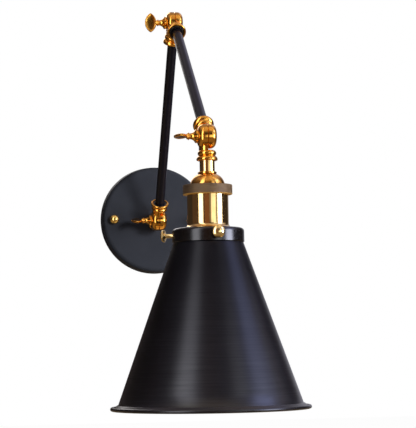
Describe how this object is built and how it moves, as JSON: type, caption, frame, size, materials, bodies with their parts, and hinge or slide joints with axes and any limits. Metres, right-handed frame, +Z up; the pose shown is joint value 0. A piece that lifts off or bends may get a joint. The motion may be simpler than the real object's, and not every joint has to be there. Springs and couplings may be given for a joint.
{
  "type": "swing arm wall lamp",
  "caption": "Wall lamp with a round wall plate, tube arms on half-lap swivel joints, a brass screw lampholder and a black cone shade that tilts.",
  "frame": {"origin": "centre of the wall plate on the wall, midway between the wall screw slots", "axes": "+Y into the wall, so the lamp reaches towards -Y; +X to the right seen from the room; +Z up"},
  "size_m": [0.1818, 0.4551, 0.4017],
  "materials": {
    "plate_paint": "matte black",
    "arm_paint": "satin black",
    "shade_paint": "satin black, inside and out",
    "cast_brass": "polished antique brass",
    "spun_brass": "polished antique brass",
    "aged_brass": "brushed, aged brown",
    "bright_brass": "polished",
    "zinc_steel": "zinc plated",
    "contact_brass": "plain",
    "ceramic": "glazed ceramic",
    "black_ring": "satin black"
  },
  "bodies": {
    "wall_mount": {"wall_plate": "plate_paint", "mounting_strap": "zinc_steel", "strap_studs": "zinc_steel", "ball_nuts": "bright_brass", "earth_screw": "contact_brass", "base_nipple": "zinc_steel", "base_washer": "zinc_steel", "base_locknut": "zinc_steel", "base_fixed_knuckle": "cast_brass"},
    "lower_arm": {"lower_arm_base_knuckle": "cast_brass", "lower_arm_tube": "arm_paint", "lower_arm_lock_rings": "black_ring", "lower_arm_elbow_knuckle": "cast_brass"},
    "upper_arm": {"upper_arm_elbow_knuckle": "cast_brass", "upper_arm_tube": "arm_paint", "upper_arm_lock_rings": "black_ring", "upper_arm_head_knuckle": "cast_brass"},
    "head": {"head_knuckle": "cast_brass", "head_nipple": "zinc_steel", "head_neck": "spun_brass", "socket_cap": "spun_brass", "cap_locknut": "zinc_steel", "socket_collar": "aged_brass", "socket_body": "spun_brass", "socket_insert": "ceramic", "terminal_screws": "contact_brass", "screw_shell": "contact_brass", "centre_contact": "contact_brass", "shade_gallery": "shade_paint", "gallery_ring_nut": "spun_brass", "lamp_shade": "shade_paint"},
    "base_wing_screw": {"base_wing_screw": "cast_brass"},
    "elbow_wing_screw": {"elbow_wing_screw": "cast_brass"},
    "head_wing_screw": {"head_wing_screw": "cast_brass"},
    "shade_screw_front": {"shade_screw_front": "bright_brass"},
    "shade_screw_left": {"shade_screw_left": "bright_brass"},
    "shade_screw_right": {"shade_screw_right": "bright_brass"}
  },
  "joints": [
    {"name": "base_pivot", "type": "hinge", "parent": "wall_mount", "child": "lower_arm", "pos_m": [0, -0.0405, -0.003], "axis": [1, 0, 0], "range_deg": [-34.8, 145.2]},
    {"name": "elbow_pivot", "type": "hinge", "parent": "lower_arm", "child": "upper_arm", "pos_m": [0, -0.17542, 0.19112], "axis": [-1, 0, 0], "range_deg": [-17.8, 202.2]},
    {"name": "head_pivot", "type": "hinge", "parent": "upper_arm", "child": "head", "pos_m": [0, -0.36421, 0.04885], "axis": [1, 0, 0], "range_deg": [-163, 57]},
    {"name": "base_wing_turn", "type": "hinge", "parent": "wall_mount", "child": "base_wing_screw", "pos_m": [0, -0.0405, -0.003], "axis": [-1, 0, 0], "range_deg": [0, 360]},
    {"name": "elbow_wing_turn", "type": "hinge", "parent": "upper_arm", "child": "elbow_wing_screw", "pos_m": [0, -0.17542, 0.19112], "axis": [-1, 0, 0], "range_deg": [0, 360]},
    {"name": "head_wing_turn", "type": "hinge", "parent": "upper_arm", "child": "head_wing_screw", "pos_m": [0, -0.36421, 0.04885], "axis": [-1, 0, 0], "range_deg": [0, 360]},
    {"name": "shade_screw_front_turn", "type": "hinge", "parent": "head", "child": "shade_screw_front", "pos_m": [0.00199, -0.40216, -0.04105], "axis": [0.0523, -0.9986, 0], "range_deg": [0, 360]},
    {"name": "shade_screw_right_turn", "type": "hinge", "parent": "head", "child": "shade_screw_right", "pos_m": [0.02911, -0.33979, -0.04105], "axis": [0.766, 0.6428, 0], "range_deg": [0, 360]},
    {"name": "shade_screw_left_turn", "type": "hinge", "parent": "head", "child": "shade_screw_left", "pos_m": [-0.03386, -0.34696, -0.04105], "axis": [-0.891, 0.454, 0], "range_deg": [0, 360]}
  ]
}
